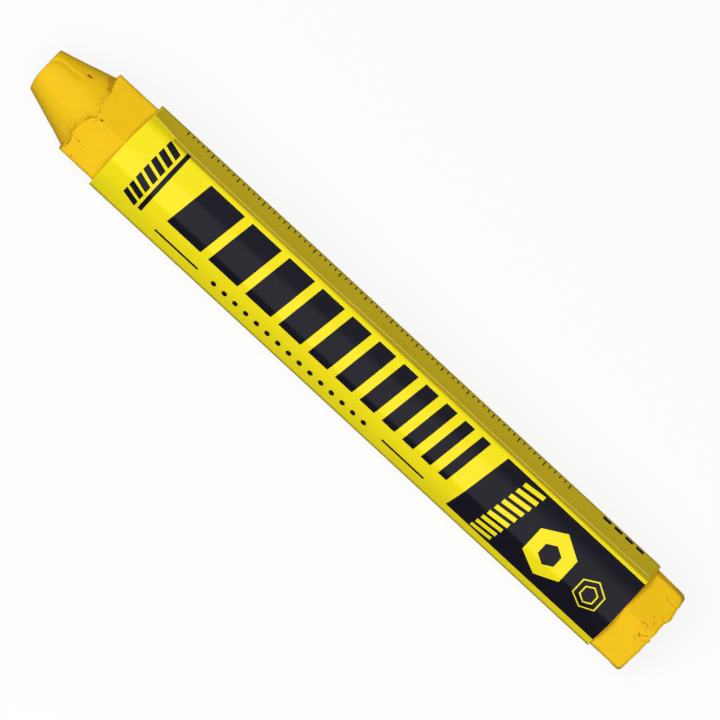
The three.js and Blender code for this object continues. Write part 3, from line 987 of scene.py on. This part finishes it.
def shapeButt(x, radius, angle):
    # The butt is broken off, not cut: a ragged end with a rounded rim and a rough face.
    breakage = stick["breakage"]
    across = radius * sin(radians(angle))
    out = radius * cos(radians(angle))
    fromButt = butt - x
    if abs(angle) < 90:
        ragged = alongCurve(buttLine, across)
    else:
        ragged = alongCurve(buttLine, across * breakage["hiddenReach"]) * breakage["hiddenShare"]
    wander = noise.noise(Vector((across * 1.3, out * 1.3, 3.0)))
    ragged += breakage["wander"] * wander * smoothStep(6, 0, out)
    x += ragged * (1 - smoothStep(0, breakage["carry"], fromButt))
    onRim = smoothStep(blankRadius - breakage["rimWidth"], blankRadius, min(radius, blankRadius))
    onRim *= smoothStep(breakage["rimLength"], 0, fromButt)
    radius -= breakage["rimRounding"] * onRim ** 2
    if fromButt < 0.001:
        inside = smoothStep(blankRadius, blankRadius - breakage["faceMargin"], radius)
        rough = noise.fractal(Vector((across, out, 0)) * 0.5, 0.8, 2.0, 5)
        x += (breakage["faceRoughness"] * rough - breakage["dish"]) * inside
    # Pressed out below, with a burr at the very end, and drawn in above
    below = alongCurve(lowerFlare, fromButt) * hill(angle - 86, 25)
    above = alongCurve(upperFlare, fromButt) * hill(angle + 90, 28)
    return x, radius + (below + above) * min(radius / 6, 1)


def toPath(path, along, across):
    # Distance in the camera's plane from a place to the nearest point of a path
    best = hypot(along - path[0][0], across - path[0][1])
    for (x0, y0), (x1, y1) in zip(path, path[1:]):
        dx, dy = x1 - x0, y1 - y0
        share = ((along - x0) * dx + (across - y0) * dy) / (dx * dx + dy * dy)
        share = min(max(share, 0), 1)
        best = min(best, hypot(along - x0 - dx * share, across - y0 - dy * share))
    return best


def markDepth(fromTip, across, facing):
    # How deep all the marks are at a place, and how much painted shade darkens them there
    deep, dirty = 0.0, 0.0
    for path, depth, width, paintedShade in marks if facing else underMarks:
        reach = markReach * width
        if path[0][0] - reach < fromTip < path[-1][0] + reach:
            share = toPath(path, fromTip, across) / width
            if share < markReach:
                fall = hill(share, 1)
                deep += depth * fall
                dirty = max(dirty, paintedShade * fall)
    return deep, dirty


def roomBelow(out):
    # How far the liner's inside lies from the axis on the side that the stick leans to, by the
    # place across that side
    flat = sleeve["acrossFlats"] / 2
    sideWidth = 2 * tan(radians(30)) * (flat - sleeve["cornerRadius"])
    bulge = sleeve["undersideBulge"] * max(cos(pi * out / sideWidth), 0)
    return flat - sleeve["layerPitch"] - sleeve["linerThickness"] + bulge


def plates(place, size):
    # A different height, from -1 to 1, on each small broken plate of a crumbled patch
    nearest = noise.voronoi(place / size)[1][0]
    return noise.cell(nearest * 7.3) * 2 - 1


def stickPoint(co):
    # Carves one point of the round blank, and says how much painted shade it takes.
    relief, paintedShadeAmounts = stick["relief"], stick["paintedShadeAmounts"]
    x, radius = co.x, hypot(co.y, co.z)
    angle = degrees(atan2(co.z, co.y)) - cornerToCamera if radius > 1e-6 else 0
    angle = (angle + 180) % 360 - 180
    angle -= stick["crowding"] * sin(radians(angle))    # more of the sides face the camera
    turned = radians(angle + cornerToCamera)
    outward = Vector((0, cos(turned), sin(turned)))
    nearButt = x > butt - stick["buttZone"]

    edge, placedShade = shoulder, 0.0
    if x < shoulder + stick["shoulderZone"]:
        x, radius, edge, placedShade = shapeShoulder(x, radius, angle)
    elif x < butt - 0.001 or radius > blankRadius - 0.001:
        radius = hexRadius(angle, x)
    else:
        radius *= hexRadius(angle, x) / blankRadius
    if nearButt:
        x, radius = shapeButt(x, radius, angle)
        # Painted shade: the flattened corner near the butt, which turns away from the light, is darker and
        # warmer.
        fromChamfer = angle - stick["chamferCorner"] - paintedShadeAmounts["chamferShift"]
        placedShade = paintedShadeAmounts["chamfer"] * hill(fromChamfer, paintedShadeAmounts["chamferWidth"])
    fromTip = x - stick["tip"]

    place = Vector((x, outward.y * radius, outward.z * radius))
    radius += relief["wave"] * noise.noise(place * relief["wavesPerMm"])
    radius += relief["ripple"] * noise.noise(place * relief["ripplesPerMm"])
    crumbly = hill(x - edge, relief["shoulderCrumble"])
    crumbly += hill(butt - x, relief["buttCrumble"])
    crumbly *= 1 - relief["calm"] * hill(angle - relief["calmAngle"], relief["calmWidth"])
    crumble = noise.fractal(place * relief["crumblesPerMm"], 0.7, 2.1, 4)
    radius += relief["crumble"] * crumbly * crumble * min(radius / 5, 1)
    plated = relief["shoulderPlates"] * hill(x - edge + 0.2, 0.5) * hill(angle + 8, 14)
    plated += relief["buttPlates"] * hill(butt - x - 0.2, 0.7) * hill(angle, 45)
    if plated > relief["leastPlate"] and radius > 3:
        radius += plated * plates(place, relief["plateSize"])

    across = radius * sin(radians(angle))
    facing = abs(angle) < 90
    depth, paintedShade = markDepth(fromTip, across, facing) if radius > 3 else (0.0, 0.0)
    radius -= depth

    # The nose leans a little to one side, and the body lies low in the sleeve towards the butt.
    lean = -stick["tipShift"] * (1 - min(fromTip / stick["noseLength"], 1))
    lean += stick["sag"] * fromTip / stick["length"]
    if 45 < angle < 135 and x > butt - stick["buttZone"]:
        # The butt's burr is low enough to pass through the sleeve.
        room = roomBelow(radius * cos(radians(angle))) - stick["clearance"] - lean
        radius = min(radius, room / sin(radians(angle)))
    carved = Vector((x, outward.y * radius, outward.z * radius + axisHeight)) + acrossView * lean
    return carved, max(paintedShade, placedShade)


def makeCrumbs():
    made, crumbs = [], stick["crumbs"]
    shake = random.Random(crumbs["seed"])
    bpy.ops.object.select_all(action="DESELECT")
    bpy.ops.mesh.primitive_ico_sphere_add(subdivisions=2, radius=1)
    grain = bpy.context.active_object
    moveVertices(grain, lambda co: co * (
        1 + crumbs["lumpiness"] * noise.noise(co * 1.7 + Vector((5, 0, 0)))))
    for i in range(crumbs["count"]):
        crumb = grain.copy()
        crumb.data = grain.data.copy()
        bpy.context.collection.objects.link(crumb)
        size = shake.uniform(crumbs["smallest"], crumbs["largest"])
        angle = shake.uniform(*crumbs["anglesInView" if i % 4 < 2 else "anglesBehind"])
        if i % 2:
            x = shoulder + shake.uniform(*crumbs["pastShoulder"])
        else:
            x = butt - shake.uniform(*crumbs["beforeButt"])
        turned = radians(angle + cornerToCamera)
        centre, _ = stickPoint(Vector((x, cos(turned) * blankRadius, sin(turned) * blankRadius)))
        moveVertices(crumb, lambda co: Vector((co.x * 1.3, co.y, co.z * 0.8)) * size + centre)
        made.append(crumb)
    bpy.data.objects.remove(grain)
    return made


def makeStick():
    blank = makeStickBlank()
    print("stick blank:", len(blank.data.vertices), "vertices")
    paintedShade = blank.data.attributes.new("paintedShade", "FLOAT", "POINT")
    # Painted shade: a mask on each point that darkens the paint's colour in cracks, pits, hollows and
    # creases.
    for vertex in blank.data.vertices:
        vertex.co, paintedShade.data[vertex.index].value = stickPoint(vertex.co)
    blank.data.update()
    grains = makeCrumbs()
    bpy.ops.object.select_all(action="DESELECT")
    for grain in grains:
        grain.select_set(True)
    blank.select_set(True)
    bpy.context.view_layer.objects.active = blank
    bpy.ops.object.join()
    blank.data.materials.clear()
    blank.data.materials.append(castPaint)
    finishPiece(blank, "paintStick", 50)
    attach(blank, "stick")
    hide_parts("paint_stick")


makeStick()
print("stick carved")


# Floor and light

studio = {
    "floor": "7C7C7C", "floorSeen": "FFFFFF", "floorSize": 6.0, "floorLift": 0.86, "world": 0.05,
    "key": {"angle": cornerToCamera + 4.5, "lean": 4, "distance": 0.9, "size": 0.55, "power": 8.6},
    "fill": {"angle": 12, "lean": 0, "distance": 1.2, "size": 0.4, "power": 3.0},
}


def addSoftbox(name, angle, lean, distance, size, power):
    # A square lamp at an angle round the stick, from +Y towards +Z, leaning towards its nose
    angle, lean = radians(angle), radians(lean)
    away = Vector((-sin(lean), cos(angle) * cos(lean), sin(angle) * cos(lean)))
    bpy.ops.object.light_add(type="AREA", location=away * distance)
    lamp = bpy.context.active_object
    lamp.name = name
    lamp.data.size = size
    lamp.data.energy = power
    lamp.rotation_euler = away.to_track_quat("Z", "Y").to_euler()
    return lamp


def makeStudio():
    bpy.ops.object.select_all(action="DESELECT")
    bpy.ops.mesh.primitive_plane_add(size=studio["floorSize"], location=(0, 0, 0))
    floor = bpy.context.active_object
    floor.name = "floor"
    # Matt grey card that the camera sees as white, so that it throws little light back.
    material, tree, surface, _ = newMaterial("mattCardFloor", {"Roughness": 0.9, "IOR": 1.3})
    toCamera = addNode(tree, "ShaderNodeLightPath").outputs["Is Camera Ray"]
    seen = addNode(
        tree, "ShaderNodeMix",
        {"data_type": "RGBA", 6: linearColour(studio["floor"]), 7: linearColour(studio["floorSeen"])},
        {0: toCamera})
    tree.links.new(seen.outputs[2], surface.inputs["Base Color"])
    lit = addNode(tree, "ShaderNodeEmission", {"Strength": 1.0})
    share = addNode(
        tree, "ShaderNodeMath", {"operation": "MULTIPLY", 1: studio["floorLift"]}, {0: toCamera})
    mixed = addNode(
        tree, "ShaderNodeMixShader", {},
        {0: share.outputs["Value"], 1: surface.outputs["BSDF"], 2: lit.outputs["Emission"]})
    tree.links.new(mixed.outputs["Shader"], tree.nodes["Material Output"].inputs["Surface"])
    floor.data.materials.append(material)

    # The key stands beside the camera. A weak fill behind the stick keeps its back from going dark,
    # and has no glare.
    addSoftbox("keySoftbox", **studio["key"])
    fill = addSoftbox("fillSoftbox", **studio["fill"])
    fill.visible_glossy = False

    world = bpy.data.worlds.new("studioWorld")
    bpy.context.scene.world = world
    world.use_nodes = True
    background = world.node_tree.nodes["Background"]
    background.inputs["Color"].default_value = (1, 1, 1, 1)
    background.inputs["Strength"].default_value = studio["world"]
    bpy.context.scene.view_settings.view_transform = "Standard"


makeStudio()
print("studio lit")
